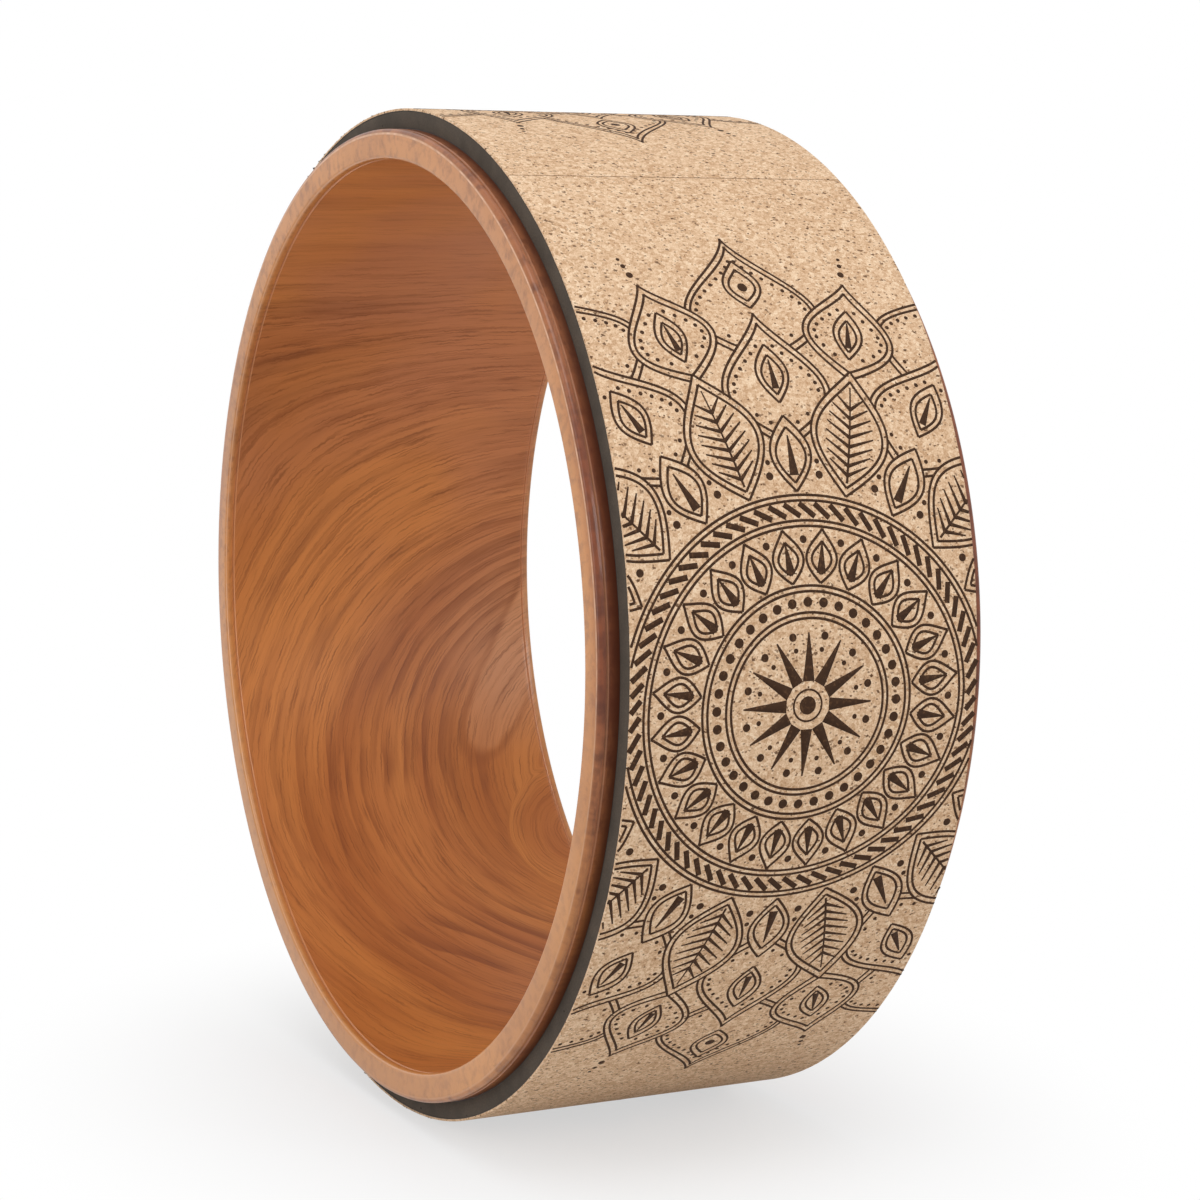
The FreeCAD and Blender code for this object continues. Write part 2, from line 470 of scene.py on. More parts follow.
def new_material(name):
    """An empty material, with a start for its nodes and the object's own coordinates."""
    material = bpy.data.materials.new(name)
    material.use_nodes = True
    material.node_tree.nodes.clear()
    start = Wire(material.node_tree)
    place = start.node("ShaderNodeTexCoord", out="Object")
    return material, start, place


def finish_material(start, shader):
    start.node("ShaderNodeOutputMaterial", sockets={"Surface": shader})


def finish_surface(start, looks):
    """Ends a material with a surface of the given looks."""
    finish_material(start, start.node("ShaderNodeBsdfPrincipled", sockets=looks))


class HoopSpot:
    """Where a shaded spot of the hoop lies: round the wheel, along the axle and over the lips."""

    def __init__(self, place):
        x, y, z = place.split()
        self.place = place
        self.y = y
        self.radius = x.length_with(z)
        self.round_x = x / self.radius
        self.round_z = z / self.radius

        # The cosine and the sine of the angle from the middle of the grain's arcs.
        self.towards = self.round_x * math.cos(GRAIN_ANGLE) + self.round_z * math.sin(GRAIN_ANGLE)
        self.beside = self.round_z * math.cos(GRAIN_ANGLE) - self.round_x * math.sin(GRAIN_ANGLE)

        self.off_middle = abs(y)
        self.over_lip = self.off_middle + self.radius - BORE_RADIUS
        self.along = place.math("SIGN", y) * self.over_lip
        self.upper = z.ease(*UPPER_HEIGHTS)
        self.top = z.ease(*TOP_HEIGHTS)
        self.low = z.ease(*LOW_HEIGHTS)
        # A band at mid height where painted shade darkens the lips.
        self.mid_shade = z.ease(*MID_SHADE_START) * z.ease(*MID_SHADE_END)
        self.front = self.off_middle.ease(*LIP_FRONT)
        self.outside = self.radius.ease(*LIP_OUTSIDE)

    def off(self, middle):
        """How far the spot lies from a place on the bore, round it and along it."""
        return self.beside * BORE_RADIUS - middle[0], self.along - middle[1]

    def streaks(self, round_scale, over_scale):
        """Noise drawn out round the wheel on the lips."""
        x = self.round_x * round_scale
        z = self.round_z * round_scale
        return self.place.join(x, z, self.over_lip * over_scale).noise(1, 3, 0.6)

    def grain(self, reach, across_scale, along_scale, beside_scale, detail=2, roughness=0.5):
        """Noise drawn out along the arcs of the grain."""
        spread = self.place.join(reach * across_scale, self.y * along_scale, self.beside * beside_scale)
        return spread.noise(1, detail, roughness)


def arc_reach(spot):
    """How far a spot lies from the middle of the grain's arcs, which run level far up the bore."""
    place = spot.place
    chord = place.math("SQRT", place.math("MAXIMUM", 2 - 2 * spot.towards, 0)) * BORE_RADIUS
    across = (GRAIN_ALONG - spot.along) * (0.2 + 0.8 * spot.towards.ease(0, 0.95))
    stretch = 0.9 + 0.24 * chord.length_with(across).ease(*STRETCH_REACHES)
    stretch = stretch + (1 - stretch) * spot.beside.ease(-0.25, 0.25)
    drift = place.waver(*GRAIN_DRIFT) + place.waver(*GRAIN_WAVER)
    return (chord * stretch).length_with(across) + drift


def tongue_masks(spot):
    """Where the pale tongue lies, where the dark line round it and where the painted reflection about it."""
    aside, along = spot.off(TONGUE_MIDDLE)
    length = (aside * math.cos(TONGUE_SLANT) + along * math.sin(TONGUE_SLANT)) / TONGUE_HALF_LENGTH
    width = (along * math.cos(TONGUE_SLANT) - aside * math.sin(TONGUE_SLANT)) / TONGUE_HALF_WIDTH
    square = length * length
    edge = square * square + width * width + spot.place.waver(*TONGUE_WAVER)
    facing = spot.towards > 0
    tongue = edge.ease(1.25, 0.65) * facing
    line = abs(edge - 1.3).ease(0.5, 0.05) * facing
    # Painted reflection: a pale patch about the tongue that stands for a lamp's sheen in the gloss.
    glow = aside.length_with(along).ease(*REFLECTION_REACHES) * facing
    return tongue, line, glow


def film_tone(spot):
    """The film's colour on the bore, with painted sheen, a painted reflection and painted shade lower down,
    and the fine lines that show in its gloss.
    """
    place = spot.place
    aside, along = spot.off(EYE_MIDDLE)
    eye_reach = aside.length_with(along) + place.waver(*EYE_WAVER)
    eye = eye_reach.ease(*EYE_REACHES) * (spot.towards > 0)
    reach = arc_reach(spot)
    reach = reach + (eye_reach * 1.3 - reach) * eye
    tongue, tongue_line, glow = tongue_masks(spot)

    steps = reach / RING_STEP + spot.grain(reach, *RING_NOISE) * 3 + place.noise(12, 2) * 1.5
    phase = place.math("FRACT", steps)
    shown = place.math("MAXIMUM", reach.ease(*RINGS_START) * reach.ease(*RINGS_END), eye) * (1 - tongue)
    rings = phase.ease(0.3, 0.95) * phase.ease(1, 0.96) * place.noise(22, 2).ease(0.36, 0.64) * shown
    streaks = spot.grain(reach, *STREAK_NOISE).ease(0.46, 0.72)
    bands = spot.grain(reach, *BAND_NOISE).ease(0.3, 0.7)
    sheen_patches = spot.grain(reach, *SHEEN_NOISE).ease(0.4, 0.66)
    ragged = reach + place.waver(*FIBRE_WAVER)
    fibres = spot.grain(ragged, *FIBRE_NOISE)
    pores = spot.grain(ragged, *PORE_NOISE)

    upper = spot.upper
    plain = 1 - 0.6 * spot.top
    clear = (1 - 0.8 * spot.front) * plain
    tone = bands.colour(FILM_BROWN, FILM_AMBER)
    # Lighter and more amber higher up the bore, with painted shade that darkens it lower down.
    tone = (upper * 0.35).colour(tone, FILM_UPPER)
    tone = ((1 - upper) * 0.2).colour(tone, FILM_LOWER_SHADE)
    # Painted sheen: pinkish patches that stand for the gloss's sheen, stronger higher up the bore.
    tone = (sheen_patches * (0.1 + 0.45 * upper)).colour(tone, FILM_SHEEN)
    tone = (tongue * 0.45).colour(tone, TONGUE_PALE)
    # Painted reflection: the pale glow about the tongue.
    tone = (glow * 0.35).colour(tone, REFLECTION_PALE)
    tone = (rings * (0.7 - 0.25 * upper)).colour(tone, RING_DARK)
    tone = (tongue_line * 0.3).colour(tone, TONGUE_DARK)
    tone = (streaks * plain * (0.1 + 0.35 * upper)).colour(tone, STREAK_DARK)
    tone = (fibres.ease(0.46, 0.72) * clear * (0.34 + 0.1 * upper)).colour(tone, FIBRE_DARK)
    tone = (pores.ease(0.5, 0.75) * clear * 0.5).colour(tone, PORE_DARK)
    return tone, fibres, pores


def lip_tone(spot, tone):
    """The film where it is stretched over the lips: painted light paler in front, brown outside, painted
    shade by the foam.
    """
    dashes = spot.streaks(*DASH_NOISE)
    blocks = spot.streaks(*BLOCK_NOISE)
    wisps = spot.streaks(*WISP_NOISE)
    front = spot.front
    outside = spot.outside
    rich_outside = outside * (1 - 0.6 * spot.low)
    outer_half = spot.radius.ease(*LIP_OUTER_HALF) * front
    shade_by_foam = spot.off_middle.ease(*SHADE_BY_FOAM_SPAN) * outside
    front_dashes = dashes.ease(0.5, 0.72) * blocks.ease(0.45, 0.6) * outer_half
    # Painted light: the lip's front face, which faces the lamps, made paler, more so low down.
    tone = (front * (0.4 + 0.15 * spot.low)).colour(tone, FRONT_PAINTED_LIGHT)
    tone = (wisps.ease(0.42, 0.72) * front * (0.3 + 0.25 * spot.upper)).colour(tone, FRONT_WISP)
    tone = (front_dashes * 0.45).colour(tone, FRONT_DASH)
    tone = (outside * (0.85 - 0.45 * spot.low)).colour(tone, OUTSIDE_BROWN)
    # Painted shade at mid height, on the front's outer half and on the outside.
    tone = (outer_half * spot.mid_shade * 0.35).colour(tone, FRONT_MID_SHADE)
    tone = (outside * spot.mid_shade * 0.6).colour(tone, OUTSIDE_MID_SHADE)
    # Painted shade beside the foam, darkest next to it.
    tone = (shade_by_foam * 0.85).colour(tone, SHADE_BY_FOAM_COLOUR)
    tone = (dashes.ease(0.42, 0.66) * rich_outside * 0.5).colour(tone, OUTSIDE_DASH)
    tone = (blocks.ease(0.5, 0.62) * rich_outside * 0.45).colour(tone, OUTSIDE_BLOCK)

    # Painted highlights: pale lines along the lips' edges, stronger on the upper shoulder, and over the
    # parting grooves.
    shoulder_highlight = abs(spot.radius - HOOP_RADIUS + LIP_SHOULDER_ROUND).ease(*HIGHLIGHT_EDGE) * front
    bore_highlight = abs(spot.over_lip - HOOP_HALF_WIDTH).ease(*HIGHLIGHT_EDGE)
    edges = shoulder_highlight * (0.2 + 0.6 * spot.upper) + bore_highlight * 0.4
    # Painted highlights: thin pale lines on the parting grooves, where their flanks catch the light.
    bore_groove_highlight = abs(spot.over_lip - BORE_GROOVE_PLANE).ease(*BORE_LINE)
    shoulder_groove_highlight = abs(spot.off_middle - HOOP_GROOVE_PLANE).ease(*SHOULDER_LINE) * outside
    tone = (edges * (0.4 + 0.6 * wisps.ease(0.3, 0.7))).colour(tone, HIGHLIGHT_PALE)
    tone = (bore_groove_highlight * 0.6).colour(tone, BORE_GROOVE_HIGHLIGHT)
    return (shoulder_groove_highlight * 0.35).colour(tone, SHOULDER_GROOVE_HIGHLIGHT)


def wood_grain():
    """A brown wood-grain film, with a sheen on the bore and a clear gloss coat on the lips."""
    material, start, place = new_material("wood_grain")
    spot = HoopSpot(place)
    tone, fibres, pores = film_tone(spot)
    lip = spot.off_middle.ease(*LIP_GLOSS)
    looks = {
        "Base Color": lip_tone(spot, tone),
        "Roughness": 0.36 + 0.12 * fibres,
        "Normal": (fibres * 0.6 + pores * 0.4).bump(0.04, 0.1 * MM),
        "Specular IOR Level": 0.25,
        "Coat Weight": lip * (0.4 - 0.1 * spot.outside),
        "Coat Roughness": 0.12,
    }
    finish_surface(start, looks)
    return material


def cork_tone(place):
    """The mottled colour of cork pressed from fine flakes with dark specks, and the height of its flakes."""
    laid_flat = place.scaled(*FLAKE_SPREAD)
    flake_tone = laid_flat.cells(FLAKE_SCALE).out("Color").split()[0]
    grit = place.noise(GRIT_SCALE, 2, 0.6)
    mottle = place.noise(MOTTLE_SCALE, 3, 0.6)
    patches = place.noise(PATCH_SCALE, 2)
    shade = flake_tone * 0.38 + grit * 0.9 + mottle * 0.4 + patches * 0.12 - 0.41
    tone = shade.node("ShaderNodeValToRGB", {"stops": CORK_SHADES}, {"Fac": shade})
    marks = []
    for scale, reach, share in SPECKS:
        specks = laid_flat.cells(scale)
        lot, depth = specks.out("Color").split()[:2]
        ragged = specks + (grit - 0.5) * 0.5
        marks.append(ragged.ease(reach, reach * 0.6) * (lot < share) * (0.4 + 0.6 * depth))
    speck_mask = place.math("MAXIMUM", *marks)
    height = grit * 0.6 + flake_tone * 0.5 - speck_mask
    return speck_mask.colour(tone, SPECK_BROWN), height


def cork():
    material, start, place = new_material("cork")
    tone, height = cork_tone(place)
    looks = {
        "Base Color": tone,
        "Roughness": 0.85,
        "Normal": height.bump(0.35, 0.2 * MM),
        "Specular IOR Level": 0.25,
    }
    finish_surface(start, looks)
    return material


def print_ink():
    """Dark brown ink that the cork's grain breaks up a little."""
    material, start, place = new_material("print_ink")
    wear = place.noise(INK_SCALE, 3, 0.6)
    looks = {
        "Base Color": (wear.ease(0.5, 0.75) * 0.5).colour(INK_BROWN, INK_WORN),
        "Roughness": 0.8,
        "Normal": wear.bump(0.3, 0.1 * MM),
        "Specular IOR Level": 0.2,
    }
    finish_surface(start, looks)
    return material


def charcoal_foam():
    """Matt closed-cell foam with a cut face: fine cells and a few pinholes."""
    material, start, place = new_material("charcoal_foam")
    cells = place.cells(FOAM_CELL_SCALE)
    clouds = place.noise(CLOUD_SCALE, 3)
    holes = place.cells(PINHOLE_SCALE)
    pinholes = holes.ease(0.09, 0.05) * (holes.out("Color").split()[0] > 1 - PINHOLE_SHARE)
    tone = clouds.ease(0.3, 0.7).colour(FOAM_DARK, FOAM_LIGHT)
    tone = (cells.ease(0.2, 0.7) * 0.25).colour(tone, FOAM_CELL)
    looks = {
        "Base Color": pinholes.colour(tone, PINHOLE_DARK),
        "Roughness": 0.9,
        "Normal": (-cells - pinholes).bump(0.3, 0.15 * MM),
        "Specular IOR Level": 0.2,
    }
    finish_surface(start, looks)
    return material


def adhesive():
    material, start, place = new_material("adhesive")
    smear = place.noise(SMEAR_SCALE, 3)
    looks = {"Base Color": smear.colour(GLUE_DARK, GLUE_LIGHT), "Roughness": 0.45 + 0.3 * smear}
    finish_surface(start, looks)
    return material


# Geometry trees


def new_tree(name, inputs):
    """A geometry tree with a named input for each size, and its inputs as wires by name."""
    tree = bpy.data.node_groups.new(name, "GeometryNodeTree")
    tree.interface.new_socket("Geometry", in_out="INPUT", socket_type="NodeSocketGeometry")
    for label, kind in inputs.items():
        tree.interface.new_socket(label, in_out="INPUT", socket_type="NodeSocket" + kind)
    tree.interface.new_socket("Geometry", in_out="OUTPUT", socket_type="NodeSocketGeometry")
    entry = Wire(tree).node("NodeGroupInput", out="Geometry")
    return tree, {label: entry.out(label) for label in ("Geometry", *inputs)}


def end_tree(geometry, material):
    """Closes a tree: everything made real, with the material on it."""
    real = geometry.node("GeometryNodeRealizeInstances", sockets={"Geometry": geometry})
    dressed = real.node("GeometryNodeSetMaterial", sockets={"Geometry": real, "Material": material})
    dressed.node("NodeGroupOutput", sockets={"Geometry": dressed})


def grow(name, tree, base, values):
    """Runs a tree on a base mesh and keeps the result as a plain mesh."""
    piece = bpy.data.objects.new(name, base)
    bpy.context.scene.collection.objects.link(piece)
    modifier = piece.modifiers.new(tree.name, "NODES")
    modifier.node_group = tree
    for item in tree.interface.items_tree:
        if item.in_out == "INPUT" and item.name in values:
            modifier[item.identifier] = values[item.name]
    graph = bpy.context.evaluated_depsgraph_get()
    result = bpy.data.meshes.new_from_object(piece.evaluated_get(graph), depsgraph=graph)
    piece.modifiers.remove(modifier)
    piece.data = result
    result.name = name
    return piece


def smooth_shaded(geometry):
    """Smooth faces with sharp edges where the surface turns a corner."""
    gentle = geometry.node("GeometryNodeInputMeshEdgeAngle") < SHARP_ANGLE
    smooth = geometry.node("GeometryNodeSetShadeSmooth", {"domain": "FACE"}, {"Geometry": geometry})
    sockets = {"Geometry": smooth, "Shade Smooth": gentle}
    return smooth.node("GeometryNodeSetShadeSmooth", {"domain": "EDGE"}, sockets)


def swept(start, path, section, caps):
    """Sweeps a section, drawn as radius and width, along a flat circle and stands the ring on its tread."""
    flat = start.node("GeometryNodeSetCurveNormal", {"mode": "Z_UP"}, {"Curve": path})
    profile = start.node("GeometryNodeMeshToCurve", sockets={"Mesh": section})
    sockets = {"Curve": flat, "Profile Curve": profile, "Fill Caps": caps}
    ring = start.node("GeometryNodeCurveToMesh", sockets=sockets)
    sockets = {"Geometry": ring, "Rotation": (QUARTER_TURN, 0, 0)}
    return start.node("GeometryNodeTransform", sockets=sockets)


def hoop_tree():
    tree, given = new_tree("hoop_ring", {"Path Radius": "Float", "Steps": "Int", "Material": "Material"})
    start = given["Geometry"]
    sockets = {"Resolution": given["Steps"], "Radius": given["Path Radius"]}
    path = start.node("GeometryNodeCurvePrimitiveCircle", sockets=sockets)
    end_tree(smooth_shaded(swept(start, path, start, False)), given["Material"])
    return tree


def wrapped_strip_tree():
    """A strip wrapped once round the wheel, with its ends met at the seam and its cuts a little uneven."""
    inputs = {
        "Path Radius": "Float",
        "Steps": "Int",
        "Seam Angle": "Float",
        "Seam Gap": "Float",
        "Half Width": "Float",
        "Edge Wander": "Float",
        "End Wander": "Float",
        "Material": "Material",
    }
    tree, given = new_tree("wrapped_strip", inputs)
    start = given["Geometry"]
    gap_angle = given["Seam Gap"] / given["Path Radius"]
    sockets = {
        "Resolution": given["Steps"],
        "Radius": given["Path Radius"],
        "Start Angle": given["Seam Angle"] + gap_angle / 2,
        "Sweep Angle": math.tau - gap_angle,
    }
    path = start.node("GeometryNodeCurveArc", sockets=sockets)
    ring = swept(start, path, start, True)
    place = start.node("GeometryNodeInputPosition")
    x, y, z = place.split()
    seam_cosine = start.math("COSINE", given["Seam Angle"])
    seam_sine = start.math("SINE", given["Seam Angle"])
    towards_seam = x * seam_cosine + z * seam_sine
    past_seam = z * seam_cosine - x * seam_sine
    at_end = (abs(past_seam) < given["Seam Gap"]) * (towards_seam > 0)
    edge_wander = place.waver(EDGE_WANDER_SCALE, given["Edge Wander"], WANDER_DETAIL)
    end_wander = place.waver(END_WANDER_SCALE, given["End Wander"], WANDER_DETAIL) * at_end
    sideways = edge_wander * (y / given["Half Width"])
    offset = start.join(-end_wander * seam_sine, sideways, end_wander * seam_cosine)
    uneven = start.node("GeometryNodeSetPosition", sockets={"Geometry": ring, "Offset": offset})
    end_tree(smooth_shaded(uneven), given["Material"])
    return tree


def cropped_lines(lines, limit):
    """Ends every line that leaves the band where it crosses the band's edge."""
    first = lines.node("GeometryNodeInputMeshEdgeVertices", out="Position 1")
    second = first.out("Position 2")
    reaches = [abs(point.split()[1]) for point in (first, second)]
    nearer = lines.math("MINIMUM", *reaches)
    crossing = ((limit - reaches[0]) / (reaches[1] - reaches[0])).blend(first, second)
    index = lines.node("GeometryNodeInputIndex")
    innermost = lines.node("GeometryNodeEdgesOfVertex", sockets={"Vertex Index": index, "Weights": nearer})

    def on_innermost(value, kind):
        settings = {"domain": "EDGE", "data_type": kind}
        return lines.node("GeometryNodeFieldAtIndex", settings, {"Value": value, "Index": innermost})

    stranded = on_innermost(nearer, "FLOAT") > limit
    kept = lines.node("GeometryNodeDeleteGeometry", sockets={"Geometry": lines, "Selection": stranded})
    outside = abs(lines.node("GeometryNodeInputPosition").split()[1]) > limit
    ended = on_innermost(crossing, "FLOAT_VECTOR")
    sockets = {"Geometry": kept, "Selection": outside, "Position": ended}
    return lines.node("GeometryNodeSetPosition", sockets=sockets)


def inked_lines(lines):
    """Ribbons along lines, as wide as the points of the lines say."""
    path = lines.node("GeometryNodeMeshToCurve", sockets={"Mesh": lines})
    path = lines.node("GeometryNodeSetCurveNormal", {"mode": "Z_UP"}, {"Curve": path})
    profile = lines.node("GeometryNodeCurvePrimitiveQuadrilateral", sockets={"Width": 1, "Height": 1})
    width = lines.stored("line_width")
    sockets = {"Curve": path, "Profile Curve": profile, "Scale": width, "Fill Caps": True}
    return lines.node("GeometryNodeCurveToMesh", sockets=sockets)


def inked_dots(dots, limit):
    """A disc for each dot that lies wholly in the band, as large as the dot's point says."""
    size = dots.stored("dot_size")
    along = dots.node("GeometryNodeInputPosition").split()[1]
    off_band = abs(along) > limit - size / 2
    kept = dots.node("GeometryNodeDeleteGeometry", sockets={"Geometry": dots, "Selection": off_band})
    sockets = {"Vertices": DOT_SIDES, "Radius": 0.5, "Depth": 1}
    disc = dots.node("GeometryNodeMeshCylinder", sockets=sockets)
    sockets = {"Points": kept, "Instance": disc, "Scale": size}
    discs = dots.node("GeometryNodeInstanceOnPoints", sockets=sockets)
    return dots.node("GeometryNodeRealizeInstances", sockets={"Geometry": discs})


def laid_on_tread(ink, tread_radius, centre_angle):
    """Bends flat ink round the tread. It is as thick everywhere: what lies above the drawing's plane becomes
    its face, the rest its underside."""
    x, y, z = ink.node("GeometryNodeInputPosition").split()
    height = (z > 0) * (INK_PROUD + INK_SUNK) - INK_SUNK
    angle = centre_angle - x / tread_radius
    radius = tread_radius + height
    laid = ink.join(radius * ink.math("COSINE", angle), y, radius * ink.math("SINE", angle))
    return ink.node("GeometryNodeSetPosition", sockets={"Geometry": ink, "Position": laid})


def line_print_tree():
    """Repeats a sector of lines and dots about a centre, crops it to the tread and lays it on."""
    inputs = {
        "Folds": "Int",
        "Tread Radius": "Float",
        "Centre Angle": "Float",
        "Half Band": "Float",
        "Material": "Material",
    }
    tree, given = new_tree("line_print", inputs)
    sector = given["Geometry"]
    copies = sector.node("GeometryNodePoints", sockets={"Count": given["Folds"]})
    turn = sector.node("GeometryNodeInputIndex") * (math.tau / given["Folds"])
    sockets = {"Points": copies, "Instance": sector, "Rotation": sector.join(0, 0, turn)}
    fan = sector.node("GeometryNodeInstanceOnPoints", sockets=sockets)
    drawing = sector.node("GeometryNodeRealizeInstances", sockets={"Geometry": fan})
    joins = sector.stored("joins", "BOOLEAN")
    sockets = {"Geometry": drawing, "Selection": joins, "Distance": JOIN_REACH}
    drawing = sector.node("GeometryNodeMergeByDistance", sockets=sockets)
    loose = sector.node("GeometryNodeInputMeshVertexNeighbors") < 0.5
    dots = sector.node("GeometryNodeSeparateGeometry", sockets={"Geometry": drawing, "Selection": loose})
    lines = cropped_lines(dots.out("Inverted"), given["Half Band"])
    inked = [inked_dots(dots, given["Half Band"]), inked_lines(lines)]
    ink = sector.node("GeometryNodeJoinGeometry", sockets={"Geometry": inked})
    end_tree(laid_on_tread(ink, given["Tread Radius"], given["Centre Angle"]), given["Material"])
    return tree


# Outlines


def arc_points(centre, radius, first, last, steps):
    """Points on an arc about a centre, from one angle to another."""
    turns = [first + (last - first) * step / steps for step in range(steps + 1)]
    return [(centre[0] + radius * math.cos(turn), centre[1] + radius * math.sin(turn)) for turn in turns]


def even_points(first, last, steps):
    """Points on a straight line after its first point and before its last."""
    shares = [step / steps for step in range(1, steps)]
    return [tuple(a + (b - a) * share for a, b in zip(first, last)) for share in shares]


def groove(radius, depth, middle):
    """A V-shaped groove in a round face, in order along the axle."""
    first = (radius, middle - GROOVE_HALF_WIDTH)
    last = (radius, middle + GROOVE_HALF_WIDTH)
    return [first, (radius + depth, middle), last]


def hoop_section():
    """The hoop's section as radius and place along the axle, in the order that turns its faces outwards.
    The half with the far lip is drawn from the bore to the outside, and mirrored."""
    bore_round = (BORE_RADIUS + LIP_BORE_ROUND, HOOP_HALF_WIDTH - LIP_BORE_ROUND)
    shoulder = (HOOP_RADIUS - LIP_SHOULDER_ROUND, HOOP_HALF_WIDTH - LIP_SHOULDER_ROUND)
    half = [(BORE_RADIUS, 0)]
    half += groove(BORE_RADIUS, GROOVE_DEPTH, BORE_GROOVE_PLANE)
    half += arc_points(bore_round, LIP_BORE_ROUND, 2 * QUARTER_TURN, QUARTER_TURN, ROUND_STEPS)
    half += arc_points(shoulder, LIP_SHOULDER_ROUND, QUARTER_TURN, 0, ROUND_STEPS)
    half += reversed(groove(HOOP_RADIUS, -GROOVE_DEPTH, HOOP_GROOVE_PLANE))
    half += [(HOOP_RADIUS, PAD_HALF_WIDTH), (HOOP_RADIUS, 0)]
    mirrored = [(radius, -along) for radius, along in half[-2:0:-1]]
    return list(reversed(half + mirrored))


def strip_section(inner, outer, width):
    """A strip's section, with its outer edges just eased by the cut."""
    ease = min(CUT_EDGE_ROUND, (outer - inner) / 2)
    outline = [(inner, -width)]
    outline += arc_points((outer - ease, -width + ease), ease, -QUARTER_TURN, 0, CUT_EDGE_STEPS)
    outline += even_points((outer, -width + ease), (outer, width - ease), STEPS_ACROSS)
    outline += arc_points((outer - ease, width - ease), ease, 0, QUARTER_TURN, CUT_EDGE_STEPS)
    outline += [(inner, width)]
    outline += even_points((inner, width), (inner, -width), STEPS_ACROSS)
    return outline


def section_mesh(name, outline, path_radius):
    """A closed outline as a loop of edges, with its radii counted from the path that it follows."""
    points = [(radius - path_radius, along, 0) for radius, along in outline]
    edges = [(index, (index + 1) % len(points)) for index in range(len(points))]
    mesh = bpy.data.meshes.new(name)
    mesh.from_pydata(points, edges, [])
    return mesh


# The print's drawing


def on_axis(axis, reach, aside=0):
    """A point at a reach along an axis of the rosette and a distance aside from it."""
    x = reach * math.cos(axis) - aside * math.sin(axis)
    y = reach * math.sin(axis) + aside * math.cos(axis)
    return (x, y)


def straight(first, last):
    steps = max(1, math.ceil(math.dist(first, last) / STRAIGHT_STEP))
    return [first] + even_points(first, last, steps) + [last]


def through(function, length):
    """Points of a curve given by a function of the share along it."""
    steps = max(FEWEST_CURVE_STEPS, math.ceil(length / CURVE_STEP))
    return [function(step / steps) for step in range(steps + 1)]


class Petal:
    """A pointed petal along an axis of the rosette, one in each sector. Where its fullness is above 1, it is
    widest nearer its base and drawn in towards its tip."""

    def __init__(self, axis, base, tip, widest, fullness):
        self.axis = axis
        self.base = base
        self.tip = tip
        self.widest = widest
        self.fullness = fullness

    def spread(self, share):
        """Half the petal's width at a share of its length."""
        return self.widest * math.sin(math.pi * (1 - (1 - share) ** self.fullness))

    def place(self, share, spread_share=0):
        """A point at a share of the length, and a share of the way from the middle to the edge there."""
        reach = self.base + (self.tip - self.base) * share
        return on_axis(self.axis, reach, self.spread(share) * spread_share)

    def side(self, side):
        return through(lambda share: self.place(share, side), self.tip - self.base + self.widest)

    def inset(self, gap):
        """The petal drawn in by a gap all round, and by more at its sharp ends. A gap below 0 widens it."""
        base = self.base + BASE_INSET_SHARE * gap
        tip = self.tip - TIP_INSET_SHARE * gap
        return Petal(self.axis, base, tip, self.widest - SIDE_INSET_SHARE * gap, self.fullness)

    def covers(self, point):
        """Whether a point lies inside the petal of its sector."""
        turn = math.atan2(point[1], point[0]) - self.axis
        turn = (turn + HALF_SECTOR) % (2 * HALF_SECTOR) - HALF_SECTOR
        reach = math.hypot(*point)
        share = (reach * math.cos(turn) - self.base) / (self.tip - self.base)
        return 0 < share < 1 and abs(reach * math.sin(turn)) < self.spread(share)


def is_hidden(point, fronts):
    return any(petal.covers(point) for petal in fronts)


def visible_runs(points, fronts):
    """The stretches of a line that no petal in front covers, each ended where it goes behind one."""
    def crossing(shown, covered):
        for halving in range(CROSSING_HALVINGS):
            middle = ((shown[0] + covered[0]) / 2, (shown[1] + covered[1]) / 2)
            if is_hidden(middle, fronts):
                covered = middle
            else:
                shown = middle
        return shown

    runs = [[]]
    for before, point in zip([None, *points], points):
        if is_hidden(point, fronts):
            if runs[-1]:
                runs[-1].append(crossing(before, point))
                runs.append([])
        else:
            if before and not runs[-1]:
                runs[-1].append(crossing(point, before))
            runs[-1].append(point)
    return [run for run in runs if len(run) > 1]


